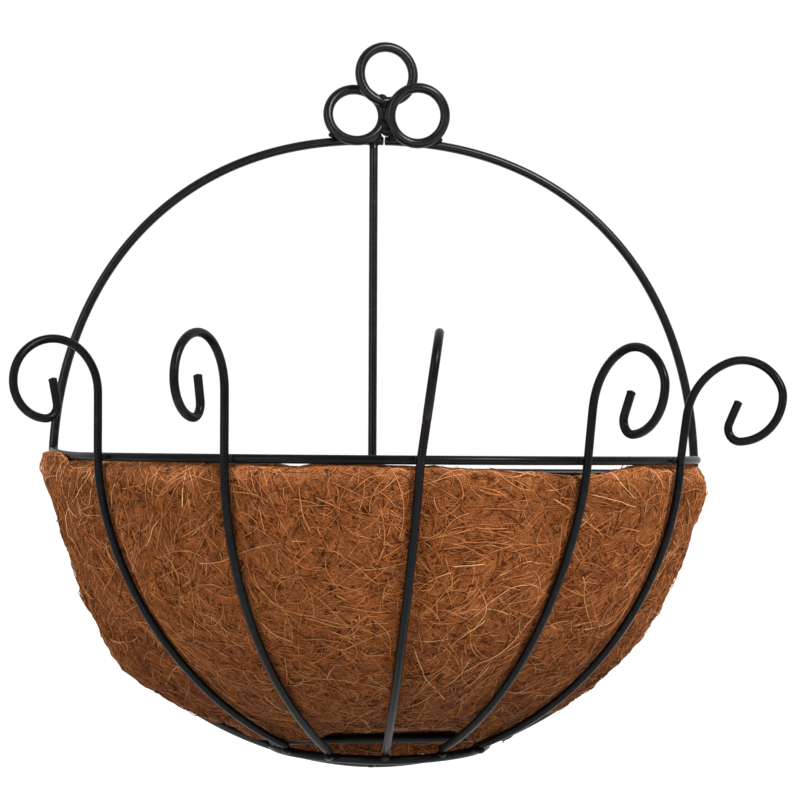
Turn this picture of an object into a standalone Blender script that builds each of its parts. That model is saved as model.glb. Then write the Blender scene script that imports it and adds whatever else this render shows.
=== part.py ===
"""Half-round wall hanging basket: a welded cage of 4 mm black coated steel wire
with a removable coconut-fibre liner.

+X is to the right as seen from the room, +Y towards the wall, +Z up.  The
object's origin is the hanging point, the inside top of the finial's top ring,
where a nail or hook bears.  The constants below are in millimetres and in the
drawing frame, whose X = 0 is the middle of the back hoop, Y = 0 the plane of the
hoop's wire and Z = 0 a level just under the rim; HANG moves it all to the
hanging point.
"""
import math

import bmesh
import bpy
from mathutils import Euler, Vector

MM = 0.001

# ---------------------------------------------------------------- dimensions
WIRE_R = 2.0            # radius of the cage wire
RIM_WIRE_R = 1.8        # the rim is bent from slightly thinner wire
RIB_WIRE_R = 1.75       # and so are the ribs
GAP = 0.3               # clearance left between neighbouring solids

# back hoop: a hand-bent, slightly squashed circle, its ends meet at the top
HOOP_HALF_WIDTH = 150.3
HOOP_WIDEST_Z = -10.1
HOOP_RISE, HOOP_RISE_POWER = 159.4, 2.22
HOOP_DROP, HOOP_DROP_POWER = 129.6, 1.885
HOOP_JOINT_X, HOOP_JOINT_GAP = 0.5, 1.0
HOOP_FLAT_RIGHT = (6.0, 0.0, -112.0)   # its sides are pressed in below the rim:
HOOP_FLAT_LEFT = (4.4, 8.0, -80.0)     # depth, from this height, to this height

SPINE_X = -4.4          # upright wire up the middle of the hoop
BACK_BAR_Z = -5.6       # level wire across the hoop at the planting line

RIM_Z = 1.4             # rim height at the wall
RIM_TILT = 0.0126       # the front of the rim sits a little lower
CAGE_R = 150.0          # rib centre-lines stand on this radius at the rim
RIM_END_LIFT = 2.6      # the left end of the rim is bent up onto the hoop

BASE_R = 50.0           # half ring under the liner, drawn slightly pointed
BASE_POWER = 1.8
BASE_Z = -130.5
CHORD_Y = -16.0         # straight wire lying across the base ring
CHORD_HALF = 50.5

RING_R = 12.5           # three finial rings above the hoop
RING_LEAN = 12.5        # degrees: left ring leans to the wall, right ring away

# rib: name, plan angle at the rim and at the base (degrees from +X),
# belly (power, depth, root), extra stem length, (plan angle, sideways lean) of
# the scroll's plane, and the bend list of its scroll: straight stem, outward
# lean, (radius, degrees) of each bend, straight tail
SCROLL_LEFT = (26.6, 0.5, ((22.3, 47), (19.3, 85), (16.8, 51), (15.1, 83), (5.4, 106)), 9.3)
SCROLL_RIGHT = (19.8, 8.2, ((27.8, 62), (18.7, 85), (11.0, 29), (18.9, 84), (5.4, 117)), 9.1)
SCROLL_CENTRE = (23.5, 4.0, ((25.0, 54), (19.0, 85), (14.0, 40), (17.0, 84), (5.4, 111)), 9.2)
RIBS = (
    ("rib_far_left", 148.6, 148.6, (1.77, 141.9, 1.735), 0.0, (148.6, 0.0), SCROLL_LEFT),
    ("rib_left", 121.4, 121.4, (2.01, 148.1, 1.362), 0.0, (121.4, 0.0), SCROLL_LEFT),
    ("rib_centre", 91.5, 94.6, (1.76, 141.0, 1.75), 1.5, (98.6, 8.0), SCROLL_CENTRE),
    ("rib_right", 64.2, 64.2, (1.485, 139.9, 1.928), 1.0, (64.2, 0.0), SCROLL_RIGHT),
    ("rib_far_right", 40.1, 40.1, (1.77, 139.1, 1.965), -1.2, (40.1, 0.0), SCROLL_RIGHT),
)
RIB_FOOT_Z = -126.7     # rib ends rest on the outer shoulder of the base ring

LINER_TOP_Z = -4.0
LINER_FLOOR_Z = -123.7
LINER_BACK_Y = -6.7
LINER_THICK = 8.0
LINER_RIM_MARGIN = 1.2  # clearance to the inside of the rim
LINER_OFFSET = 3.3      # liner face to rib centre-line
LINER_HOOP_MARGIN = 3.0  # the liner's wall edges stay this far inside the hoop
LINER_ARC_STEPS = 30
LINER_BACK_STEPS = 6
LINER_ROWS = 11

TOP_RING = Vector((1.0, -4.3, 179.8))
HANG = TOP_RING + Vector((0.0, 0.0, RING_R - WIRE_R))   # inside top of the top ring


# ---------------------------------------------------------------- geometry
def sgnpow(value, power):
    return math.copysign(abs(value) ** power, value)


def hoop_half_width(z):
    """Half width of the back hoop's centre-line at height z."""
    d = z - HOOP_WIDEST_Z
    reach, power = (HOOP_RISE, HOOP_RISE_POWER) if d > 0 else (HOOP_DROP, HOOP_DROP_POWER)
    return HOOP_HALF_WIDTH * max(0.0, 1.0 - (abs(d) / reach) ** power) ** (1.0 / power)


def hoop_height(x, top=True):
    """Height of the hoop's centre-line at x, on its upper or lower arc."""
    reach, power = (HOOP_RISE, HOOP_RISE_POWER) if top else (HOOP_DROP, HOOP_DROP_POWER)
    h = reach * (1.0 - (abs(x) / HOOP_HALF_WIDTH) ** power) ** (1.0 / power)
    return HOOP_WIDEST_Z + (h if top else -h)


def hoop_dent(z, side):
    """How far the hoop is pressed in at height z, on one side."""
    depth, upper, lower = side
    w = (upper - z) / (upper - lower)
    return depth * math.sin(math.pi * w) ** 2 if 0.0 < w < 1.0 else 0.0


def hoop_point(t):
    c, s = math.cos(t), math.sin(t)
    reach, power = (HOOP_RISE, HOOP_RISE_POWER) if s > 0 else (HOOP_DROP, HOOP_DROP_POWER)
    x = HOOP_HALF_WIDTH * sgnpow(c, 2.0 / power)
    z = HOOP_WIDEST_Z + reach * sgnpow(s, 2.0 / power)
    x += -hoop_dent(z, HOOP_FLAT_RIGHT) if x > 0.0 else hoop_dent(z, HOOP_FLAT_LEFT)
    return (x, 0.0, z)


def evenly(points, count):
    """The same path cut into count equal steps along its length."""
    pts = [Vector(p) for p in points]
    run = [0.0]
    for a, b in zip(pts, pts[1:]):
        run.append(run[-1] + (b - a).length)
    out, j = [], 0
    for k in range(count + 1):
        s = run[-1] * k / count
        while j < len(pts) - 2 and run[j + 1] < s:
            j += 1
        span = run[j + 1] - run[j]
        out.append(pts[j].lerp(pts[j + 1], 0.0 if span == 0 else min(1.0, (s - run[j]) / span)))
    return out


def hoop_path(count=92):
    """Clockwise from the joint at the top, right round to the other end."""
    half = HOOP_JOINT_GAP / 2.0
    start = math.acos(((HOOP_JOINT_X + half) / HOOP_HALF_WIDTH) ** (HOOP_RISE_POWER / 2.0))
    stop = math.pi / 2.0 - 2.0 * math.pi
    return evenly([hoop_point(start + (stop - start) * k / 1440) for k in range(1441)], count)


def rim_radius(phi):
    """Rim centre-line radius: inside the ribs, swelling out to meet the hoop."""
    inner = CAGE_R - WIRE_R - GAP - RIM_WIRE_R
    reach = hoop_half_width(RIM_Z) - 0.3
    if phi < 0.5 * math.pi:                 # its right end runs straight at the hoop
        turn = math.degrees(phi)
        blend = max(0.0, 1.0 - turn / 11.0) ** 1.6
        dip = 1.5 * math.sin(math.pi * turn / 28.0) ** 2 if turn < 28.0 else 0.0
        return inner - dip + (reach - inner) * blend
    edge = (math.pi - phi) / math.radians(22.0)
    blend = 0.0 if edge >= 1.0 else 0.5 + 0.5 * math.cos(math.pi * edge)
    return inner + (reach - inner) * blend


def rim_path(count=50):
    """Half ring in front of the hoop, from its right end to its left end."""
    butt = WIRE_R + GAP
    first = math.asin(butt / rim_radius(0.0))
    pts = []
    for k in range(721):
        phi = first + (math.pi - 2.0 * first) * k / 720
        r = rim_radius(phi)
        y = -r * math.sin(phi)
        lift = max(0.0, (phi - math.radians(158.0)) / math.radians(22.0))
        pts.append((r * math.cos(phi), y, RIM_Z + RIM_TILT * y + RIM_END_LIFT * lift * lift))
    return evenly(pts, count)


def scroll_profile(scroll, extra):
    """(out, up) points of a scroll, walked along its wire from the rim up."""
    straight, lean, bends, tail = scroll
    straight += extra
    x = y = 0.0
    heading = math.pi / 2.0 - math.radians(lean)
    pts = []
    for k in range(4):
        s = straight * k / 4
        pts.append((s * math.cos(heading), s * math.sin(heading)))
    x, y = straight * math.cos(heading), straight * math.sin(heading)
    for radius, degrees in bends:
        turn = math.radians(degrees)
        cx, cy = x + radius * math.sin(heading), y - radius * math.cos(heading)
        steps = max(3, int(round(degrees / (12.5 if radius > 8 else 17.0))))
        for k in range(steps):
            h = heading - turn * k / steps
            pts.append((cx - radius * math.sin(h), cy + radius * math.cos(h)))
        heading -= turn
        x, y = cx - radius * math.sin(heading), cy + radius * math.cos(heading)
    for k in range(3):
        s = tail * k / 2
        pts.append((x + s * math.cos(heading), y + s * math.sin(heading)))
    return pts


def belly_radius(belly, z):
    power, depth, root = belly
    d = max(0.0, RIM_Z - z) / depth
    return CAGE_R * max(0.0, 1.0 - d ** power) ** (1.0 / root)


def rib_angle(at_rim, at_base, z):
    w = min(1.0, max(0.0, (z - RIM_Z + 136.0) / 136.0))
    return math.radians(at_base + (at_rim - at_base) * w)


def rib_path(rib):
    """One wire: scroll tip, down the stem, over the rim and round the belly."""
    _, at_rim, at_base, belly, extra, (plane, side_lean), scroll = rib
    a = math.radians(at_rim)
    start_z = RIM_Z - RIM_TILT * CAGE_R * math.sin(a)
    stem = Vector((CAGE_R * math.cos(a), -CAGE_R * math.sin(a), start_z))
    face = math.radians(plane)
    outward = Vector((math.cos(face), -math.sin(face), 0.0))
    sideways = Vector((math.sin(face), math.cos(face), 0.0)) * math.tan(math.radians(side_lean))
    rise = sideways + Vector((0.0, 0.0, 1.0))
    pts = [stem + outward * out + rise * up for out, up in reversed(scroll_profile(scroll, extra))]
    fine = []
    for k in range(401):
        z = start_z + (RIB_FOOT_Z - start_z) * k / 400
        r = belly_radius(belly, z)
        b = rib_angle(at_rim, at_base, z)
        fine.append((r * math.cos(b), -r * math.sin(b), z))
    return pts + evenly(fine, 19)[1:]


def base_ring_path(count=22):
    """Pointed half ring whose ends butt against the front of the hoop."""
    butt = WIRE_R + GAP
    first = math.asin((butt / BASE_R) ** (BASE_POWER / 2.0))
    pts = []
    for k in range(361):
        phi = first + (math.pi - 2.0 * first) * k / 360
        pts.append((BASE_R * sgnpow(math.cos(phi), 2.0 / BASE_POWER),
                    -BASE_R * sgnpow(math.sin(phi), 2.0 / BASE_POWER), BASE_Z))
    return evenly(pts, count)


def cage_radius(phi, z):
    """Radius that the cage allows in the direction phi: the hoop at the wall, then each rib."""
    turn = math.degrees(phi)
    side = LINER_OFFSET - LINER_HOOP_MARGIN
    stops = [(0.0, hoop_half_width(z) - hoop_dent(z, HOOP_FLAT_RIGHT) + side)]
    stops += [(r[1], belly_radius(r[3], z)) for r in sorted(RIBS, key=lambda r: r[1])]
    stops.append((180.0, hoop_half_width(z) - hoop_dent(z, HOOP_FLAT_LEFT) + side))
    for low, high in zip(stops, stops[1:]):
        if turn <= high[0]:
            w = (turn - low[0]) / (high[0] - low[0])
            w = w * w * (3.0 - 2.0 * w)
            return (1.0 - w) * low[1] + w * high[1]
    return stops[-1][1]


def liner_radius(phi, z):
    """Outer radius of the liner: the cage drawn in by LINER_OFFSET square to it."""
    step = 0.5
    slope = (cage_radius(phi, z + step) - cage_radius(phi, z - step)) / (2.0 * step)
    through_rim = rim_radius(phi) - RIM_WIRE_R - LINER_RIM_MARGIN
    return min(through_rim, cage_radius(phi, z) - LINER_OFFSET * math.sqrt(1.0 + slope * slope))


# ---------------------------------------------------------------- builders
def material(name, colour, roughness, metallic):
    mat = bpy.data.materials.new(name)
    mat.use_nodes = True
    shader = mat.node_tree.nodes["Principled BSDF"]
    shader.inputs["Base Color"].default_value = (*colour, 1.0)
    shader.inputs["Roughness"].default_value = roughness
    shader.inputs["Metallic"].default_value = metallic
    mat.diffuse_color = (*colour, 1.0)
    return mat


def wire(name, points, radius, origin, mat, closed=False, turn=None, sides=8):
    """A round wire along points (mm), its origin at origin (mm)."""
    curve = bpy.data.curves.new(name, "CURVE")
    curve.dimensions = "3D"
    curve.fill_mode = "FULL"
    curve.twist_mode = "MINIMUM"
    curve.bevel_depth = radius * MM
    curve.bevel_resolution = (sides - 4) // 2
    curve.use_fill_caps = True
    spline = curve.splines.new("POLY")
    spline.points.add(len(points) - 1)
    base = Vector(origin)
    for target, p in zip(spline.points, points):
        target.co = (*((Vector(p) - base) * MM), 1.0)
    spline.use_cyclic_u = closed
    spline.use_smooth = True
    obj = bpy.data.objects.new(name, curve)
    obj.location = (base - HANG) * MM
    if turn is not None:
        obj.rotation_euler = turn
    curve.materials.append(mat)
    bpy.context.scene.collection.objects.link(obj)
    return obj


def mesh_object(name, bm, mat, base):
    bmesh.ops.recalc_face_normals(bm, faces=bm.faces)
    mesh = bpy.data.meshes.new(name)
    bm.to_mesh(mesh)
    bm.free()
    mesh.materials.append(mat)
    mesh.shade_smooth()
    mesh.set_sharp_from_angle(angle=math.radians(40.0))
    obj = bpy.data.objects.new(name, mesh)
    obj.location = (base - HANG) * MM
    bpy.context.scene.collection.objects.link(obj)
    return obj


def finial_ring(name, centre, foot, lean_x, turn_z, mat):
    """A ring of wire, turned about the vertical; foot leans it about its lowest point."""
    rot = Euler((math.radians(lean_x), 0.0, math.radians(turn_z)), "XYZ")
    pts = []
    for k in range(26):
        a = 2.0 * math.pi * k / 26
        pts.append((RING_R * math.cos(a), 0.0, RING_R * math.sin(a) + (RING_R if foot else 0.0)))
    obj = wire(name, pts, WIRE_R, (0.0, 0.0, 0.0), mat, closed=True)
    drop = Vector((0.0, 0.0, RING_R if foot else 0.0))
    obj.location = (Vector(centre) - drop - HANG) * MM
    obj.rotation_euler = rot
    return obj


def weld_bead(name, stations, mat, sides=10):
    """A run of weld metal: circles of the given radius stacked upwards."""
    base = Vector(stations[0][:3])
    bm = bmesh.new()
    loops = []
    for x, y, z, r in stations:
        loop = []
        for k in range(sides):
            a = 2.0 * math.pi * k / sides
            loop.append(bm.verts.new((Vector((x + r * math.cos(a), y + r * math.sin(a), z)) - base) * MM))
        loops.append(loop)
    for low, high in zip(loops, loops[1:]):
        for k in range(sides):
            n = (k + 1) % sides
            bm.faces.new((low[k], low[n], high[n], high[k]))
    for loop, (x, y, z, r), tip in ((loops[0], stations[0], -1.0), (loops[-1], stations[-1], 1.0)):
        cap = bm.verts.new((Vector((x, y, z + tip * 0.45 * r)) - base) * MM)
        for k in range(sides):
            bm.faces.new((loop[k], loop[(k + 1) % sides], cap))
    return mesh_object(name, bm, mat, base)


def liner_loop(bm, z, inset, base):
    """One level of the liner: a half round with a flat back, pulled in by inset."""
    back = LINER_BACK_Y - inset
    pts = []
    for k in range(LINER_ARC_STEPS + 1):
        phi = math.pi * k / LINER_ARC_STEPS
        r = liner_radius(phi, z) - inset
        x, y = r * math.cos(phi), -r * math.sin(phi)
        if y > back:
            x, y = math.copysign(math.sqrt(max(0.0, r * r - back * back)), x), back
        pts.append((x, y))
    (x0, y0), (x1, y1) = pts[-1], pts[0]
    for k in range(1, LINER_BACK_STEPS):
        w = k / LINER_BACK_STEPS
        pts.append((x0 + (x1 - x0) * w, back))
    return [bm.verts.new((Vector((x, y, z)) - base) * MM) for x, y in pts]


def coir_liner(name, mat):
    """Open shell of felted fibre, pressed into the cage: flat back, flat floor."""
    base = Vector((0.0, 0.5 * LINER_BACK_Y - 30.0, LINER_FLOOR_Z))
    bm = bmesh.new()
    outer, inner = [], []
    floor = LINER_FLOOR_Z + LINER_THICK
    for k in range(LINER_ROWS + 1):
        w = k / LINER_ROWS
        w = 1.0 - (1.0 - w) ** 1.6          # rows close up towards the floor
        outer.append(liner_loop(bm, LINER_TOP_Z + (LINER_FLOOR_Z - LINER_TOP_Z) * w, 0.0, base))
        inner.append(liner_loop(bm, LINER_TOP_Z + (floor - LINER_TOP_Z) * w, LINER_THICK, base))
    n = len(outer[0])
    for rows in (outer, inner):
        for low, high in zip(rows, rows[1:]):
            for k in range(n):
                m = (k + 1) % n
                bm.faces.new((low[k], low[m], high[m], high[k]))
    for k in range(n):
        m = (k + 1) % n
        bm.faces.new((outer[0][k], outer[0][m], inner[0][m], inner[0][k]))
    bm.faces.new(outer[-1])
    bm.faces.new(list(reversed(inner[-1])))
    return mesh_object(name, bm, mat, base)


# ---------------------------------------------------------------- assembly
for leftover in list(bpy.data.objects):
    bpy.data.objects.remove(leftover, do_unlink=True)

black = material("satin_black_coated_wire", (0.018, 0.019, 0.021), 0.38, 0.15)
weld = material("coated_weld_metal", (0.02, 0.021, 0.022), 0.5, 0.15)
coir = material("coconut_fibre", (0.34, 0.145, 0.055), 0.95, 0.0)

wire("back_hoop", hoop_path(), WIRE_R, (0.0, 0.0, HOOP_WIDEST_Z), black)

# the spine butts under the hoop's top and laps in front of its bottom
lap = 2.0 * WIRE_R + GAP
spine_top = hoop_height(SPINE_X) - WIRE_R - GAP
spine_foot = hoop_height(SPINE_X, top=False) - 0.5 * WIRE_R
wire("back_spine", [(SPINE_X, 0.0, spine_top), (SPINE_X, -lap * 1.03, spine_foot)],
     WIRE_R, (SPINE_X, 0.0, spine_top), black)

# the cross bar passes behind the spine and butts inside the hoop
spine_y_at_bar = -lap * 1.03 * (spine_top - BACK_BAR_Z) / (spine_top - spine_foot)
bar_y = spine_y_at_bar + lap + 0.1
bar_half = hoop_half_width(BACK_BAR_Z) - WIRE_R - GAP
bar_left = hoop_dent(BACK_BAR_Z - WIRE_R, HOOP_FLAT_LEFT) - bar_half
bar_right = bar_half - hoop_dent(BACK_BAR_Z - WIRE_R, HOOP_FLAT_RIGHT)
wire("back_cross_bar", [(bar_left, bar_y, BACK_BAR_Z), (bar_right, bar_y, BACK_BAR_Z)],
     WIRE_R, (0.0, bar_y, BACK_BAR_Z), black)

wire("rim_half_ring", rim_path(), RIM_WIRE_R, (0.0, 0.0, RIM_Z), black)

for rib in RIBS:
    a = math.radians(rib[1])
    seat = (CAGE_R * math.cos(a), -CAGE_R * math.sin(a), RIM_Z)
    wire(rib[0], rib_path(rib), RIB_WIRE_R, seat, black)

wire("base_half_ring", base_ring_path(), WIRE_R, (0.0, 0.0, BASE_Z), black)
chord_z = BASE_Z + lap
wire("base_cross_bar", [(-CHORD_HALF, CHORD_Y, chord_z), (CHORD_HALF, CHORD_Y, chord_z)],
     WIRE_R, (0.0, CHORD_Y, chord_z), black)

# three rings: the side rings stand in front of the hoop, leaned apart so that
# the top ring passes in front of the left one and behind the right one
finial_ring("finial_ring_left", (-13.7, -lap, 160.9), True, -RING_LEAN, 0.0, black)
finial_ring("finial_ring_right", (15.6, -lap, 160.4), True, RING_LEAN, 0.0, black)
finial_ring("finial_ring_top", TOP_RING, False, 0.0, 8.0, black)
weld_bead("finial_weld", (
    (1.0, -4.3, 152.6, 1.0), (1.0, -4.3, 153.6, 1.7), (1.0, -4.3, 155.4, 1.7),
    (1.0, -4.3, 157.6, 1.2), (1.0, -4.3, 160.5, 1.0), (1.0, -4.3, 162.6, 0.8),
    (1.0, -4.3, 163.6, 0.5)), weld)

coir_liner("coir_liner", coir)
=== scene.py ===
import math
import random

import bmesh
import bpy
import numpy as np
from mathutils import Euler, Matrix, Vector, noise
from mathutils.bvhtree import BVHTree
from mathutils.kdtree import KDTree


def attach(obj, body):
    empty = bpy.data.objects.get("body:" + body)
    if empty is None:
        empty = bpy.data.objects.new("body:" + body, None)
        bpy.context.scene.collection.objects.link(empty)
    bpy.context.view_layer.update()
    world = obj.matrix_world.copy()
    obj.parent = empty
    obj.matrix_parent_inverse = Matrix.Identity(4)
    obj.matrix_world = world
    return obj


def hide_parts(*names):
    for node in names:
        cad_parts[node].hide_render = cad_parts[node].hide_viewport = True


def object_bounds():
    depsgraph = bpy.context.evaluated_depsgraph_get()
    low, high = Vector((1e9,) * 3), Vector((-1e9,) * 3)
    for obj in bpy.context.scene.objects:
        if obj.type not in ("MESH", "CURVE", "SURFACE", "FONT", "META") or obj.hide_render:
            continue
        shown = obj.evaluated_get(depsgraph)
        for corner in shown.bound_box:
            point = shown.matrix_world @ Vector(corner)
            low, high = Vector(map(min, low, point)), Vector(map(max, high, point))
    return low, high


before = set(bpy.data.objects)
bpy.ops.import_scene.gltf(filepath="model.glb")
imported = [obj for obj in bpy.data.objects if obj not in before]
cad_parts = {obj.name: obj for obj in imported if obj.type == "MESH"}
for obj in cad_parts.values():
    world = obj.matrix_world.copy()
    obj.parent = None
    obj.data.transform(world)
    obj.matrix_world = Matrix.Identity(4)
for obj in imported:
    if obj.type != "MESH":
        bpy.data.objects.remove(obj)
cad_lo, cad_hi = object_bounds()

MM = 0.001
HANG = Vector((1.0, -4.3, 190.3))      # hanging point in the drawing frame, mm
SCENE = bpy.context.scene


def P(x, y=None, z=None):
    """A drawing-frame point in mm as a point of the row frame in metres."""
    v = Vector(x) if y is None else Vector((x, y, z))
    return (v - HANG) * MM


# =================================================================== shape rules
WIRE_R, RIM_WIRE_R, RIB_WIRE_R, FINIAL_WIRE_R, GAP = 2.0, 1.8, 1.75, 2.3, 0.3
HOOP_HALF_WIDTH, HOOP_WIDEST_Z = 150.3, -10.1
HOOP_RISE, HOOP_RISE_POWER = 159.4, 2.22
HOOP_DROP, HOOP_DROP_POWER = 129.6, 1.885
HOOP_JOINT_X, HOOP_JOINT_GAP = 0.5, 1.0
HOOP_FLAT_RIGHT, HOOP_FLAT_LEFT = (6.0, 0.0, -112.0), (4.4, 8.0, -80.0)
SPINE_X, BACK_BAR_Z = -4.4, -5.6
RIM_Z, RIM_TILT, CAGE_R, RIM_END_LIFT = 1.4, 0.0126, 150.0, 2.6
BASE_R, BASE_POWER, BASE_Z = 50.0, 1.8, -130.5
CHORD_Y, CHORD_HALF = -16.0, 50.5
RING_R, RING_LEAN = 12.8, 12.5
TOP_RING = Vector((1.0, -4.3, 179.8))
SCROLL_LEFT = (26.6, 0.5, ((22.3, 47), (19.3, 85), (16.8, 51), (15.1, 83), (5.4, 106)), 9.3)
SCROLL_RIGHT = (19.8, 8.2, ((27.8, 62), (18.7, 85), (11.0, 29), (18.9, 84), (5.4, 117)), 9.1)
SCROLL_CENTRE = (23.5, 4.0, ((25.0, 54), (19.0, 85), (14.0, 40), (17.0, 84), (5.4, 111)), 9.2)
RIBS = (
    ("rib_far_left", 148.6, 148.6, (1.77, 141.9, 1.735), 0.0, (148.6, 0.0), SCROLL_LEFT),
    ("rib_left", 121.4, 121.4, (2.01, 148.1, 1.362), 0.0, (121.4, 0.0), SCROLL_LEFT),
    ("rib_centre", 91.5, 94.6, (1.76, 141.0, 1.75), 1.5, (98.6, 8.0), SCROLL_CENTRE),
    ("rib_right", 64.2, 64.2, (1.485, 139.9, 1.928), 1.0, (64.2, 0.0), SCROLL_RIGHT),
    ("rib_far_right", 40.1, 40.1, (1.77, 139.1, 1.965), -1.2, (40.1, 0.0), SCROLL_RIGHT),
)
RIB_FOOT_Z = -126.7
FLOOR_Z = -123.7
BACK_Y = -6.7


def sgnpow(v, p):
    return math.copysign(abs(v) ** p, v)


def smooth(w):
    w = min(1.0, max(0.0, w))
    return w * w * (3.0 - 2.0 * w)


def hoop_half_width(z):
    d = z - HOOP_WIDEST_Z
    reach, power = (HOOP_RISE, HOOP_RISE_POWER) if d > 0 else (HOOP_DROP, HOOP_DROP_POWER)
    return HOOP_HALF_WIDTH * max(0.0, 1.0 - (abs(d) / reach) ** power) ** (1.0 / power)


def hoop_height(x, top=True):
    reach, power = (HOOP_RISE, HOOP_RISE_POWER) if top else (HOOP_DROP, HOOP_DROP_POWER)
    h = reach * (1.0 - (abs(x) / HOOP_HALF_WIDTH) ** power) ** (1.0 / power)
    return HOOP_WIDEST_Z + (h if top else -h)


def hoop_dent(z, side):
    depth, upper, lower = side
    w = (upper - z) / (upper - lower)
    return depth * math.sin(math.pi * w) ** 2 if 0.0 < w < 1.0 else 0.0


def hoop_point(t):
    c, s = math.cos(t), math.sin(t)
    reach, power = (HOOP_RISE, HOOP_RISE_POWER) if s > 0 else (HOOP_DROP, HOOP_DROP_POWER)
    x = HOOP_HALF_WIDTH * sgnpow(c, 2.0 / power)
    z = HOOP_WIDEST_Z + reach * sgnpow(s, 2.0 / power)
    x += -hoop_dent(z, HOOP_FLAT_RIGHT) if x > 0.0 else hoop_dent(z, HOOP_FLAT_LEFT)
    return (x, 0.0, z)


def evenly(points, count):
    pts = [Vector(p) for p in points]
    run = [0.0]
    for a, b in zip(pts, pts[1:]):
        run.append(run[-1] + (b - a).length)
    out, j = [], 0
    for k in range(count + 1):
        s = run[-1] * k / count
        while j < len(pts) - 2 and run[j + 1] < s:
            j += 1
        span = run[j + 1] - run[j]
        out.append(pts[j].lerp(pts[j + 1], 0.0 if span == 0 else min(1.0, (s - run[j]) / span)))
    return out


def hoop_path(count):
    half = HOOP_JOINT_GAP / 2.0
    start = math.acos(((HOOP_JOINT_X + half) / HOOP_HALF_WIDTH) ** (HOOP_RISE_POWER / 2.0))
    stop = math.pi / 2.0 - 2.0 * math.pi
    return evenly([hoop_point(start + (stop - start) * k / 2880) for k in range(2881)], count)


def rim_radius(phi):
    inner = CAGE_R - WIRE_R - GAP - RIM_WIRE_R
    reach = hoop_half_width(RIM_Z) - 0.3
    if phi < 0.5 * math.pi:                 # its right end runs straight at the hoop
        turn = math.degrees(phi)
        blend = max(0.0, 1.0 - turn / 11.0) ** 1.6
        dip = 1.5 * math.sin(math.pi * turn / 28.0) ** 2 if turn < 28.0 else 0.0
        return inner - dip + (reach - inner) * blend
    edge = (math.pi - phi) / math.radians(22.0)
    blend = 0.0 if edge >= 1.0 else 0.5 + 0.5 * math.cos(math.pi * edge)
    return inner + (reach - inner) * blend


def rim_path(count):
    butt = WIRE_R - 0.6                      # its ends are welded onto the hoop
    first = math.asin(butt / rim_radius(0.0))
    pts = []
    for k in range(1441):
        phi = first + (math.pi - 2.0 * first) * k / 1440
        r = rim_radius(phi)
        y = -r * math.sin(phi)
        lift = max(0.0, (phi - math.radians(158.0)) / math.radians(22.0))
        pts.append((r * math.cos(phi), y, RIM_Z + RIM_TILT * y + RIM_END_LIFT * lift * lift))
    return evenly(pts, count)


def scroll_profile(scroll, extra):
    straight, lean, bends, tail = scroll
    straight += extra
    heading = math.pi / 2.0 - math.radians(lean)
    pts = []
    for k in range(8):
        s = straight * k / 8
        pts.append((s * math.cos(heading), s * math.sin(heading)))
    x, y = straight * math.cos(heading), straight * math.sin(heading)
    for radius, degrees in bends:
        turn = math.radians(degrees)
        cx, cy = x + radius * math.sin(heading), y - radius * math.cos(heading)
        steps = max(6, int(round(degrees / (4.0 if radius > 8 else 7.0))))
        for k in range(steps):
            h = heading - turn * k / steps
            pts.append((cx - radius * math.sin(h), cy + radius * math.cos(h)))
        heading -= turn
        x, y = cx - radius * math.sin(heading), cy + radius * math.cos(heading)
    for k in range(5):
        s = tail * k / 4
        pts.append((x + s * math.cos(heading), y + s * math.sin(heading)))
    return pts


def belly_radius(belly, z):
    power, depth, root = belly
    d = max(0.0, RIM_Z - z) / depth
    return CAGE_R * max(0.0, 1.0 - d ** power) ** (1.0 / root)


def rib_angle(at_rim, at_base, z):
    w = min(1.0, max(0.0, (z - RIM_Z + 136.0) / 136.0))
    return math.radians(at_base + (at_rim - at_base) * w)


def rib_path(rib):
    _, at_rim, at_base, belly, extra, (plane, side_lean), scroll = rib
    a = math.radians(at_rim)
    start_z = RIM_Z - RIM_TILT * CAGE_R * math.sin(a)
    stem = Vector((CAGE_R * math.cos(a), -CAGE_R * math.sin(a), start_z))
    face = math.radians(plane)
    outward = Vector((math.cos(face), -math.sin(face), 0.0))
    sideways = Vector((math.sin(face), math.cos(face), 0.0)) * math.tan(math.radians(side_lean))
    rise = sideways + Vector((0.0, 0.0, 1.0))
    pts = [stem + outward * out + rise * up for out, up in reversed(scroll_profile(scroll, extra))]
    fine = []
    for k in range(801):
        z = start_z + (RIB_FOOT_Z - start_z) * k / 800
        r = belly_radius(belly, z)
        b = rib_angle(at_rim, at_base, z)
        fine.append((r * math.cos(b), -r * math.sin(b), z))
    return pts + evenly(fine, 70)[1:]


def base_ring_path(count):
    butt = WIRE_R - 0.6
    first = math.asin((butt / BASE_R) ** (BASE_POWER / 2.0))
    pts = []
    for k in range(721):
        phi = first + (math.pi - 2.0 * first) * k / 720
        pts.append((BASE_R * sgnpow(math.cos(phi), 2.0 / BASE_POWER),
                    -BASE_R * sgnpow(math.sin(phi), 2.0 / BASE_POWER), BASE_Z))
    return evenly(pts, count)


def rounded(points, passes=2):
    """Eases the corners of a path whose ends stay put."""
    pts = [Vector(p) for p in points]
    for _ in range(passes):
        pts = [pts[0]] + [(a + b * 2.0 + c) / 4.0 for a, b, c in zip(pts, pts[1:], pts[2:])] + [pts[-1]]
    return pts


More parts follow.
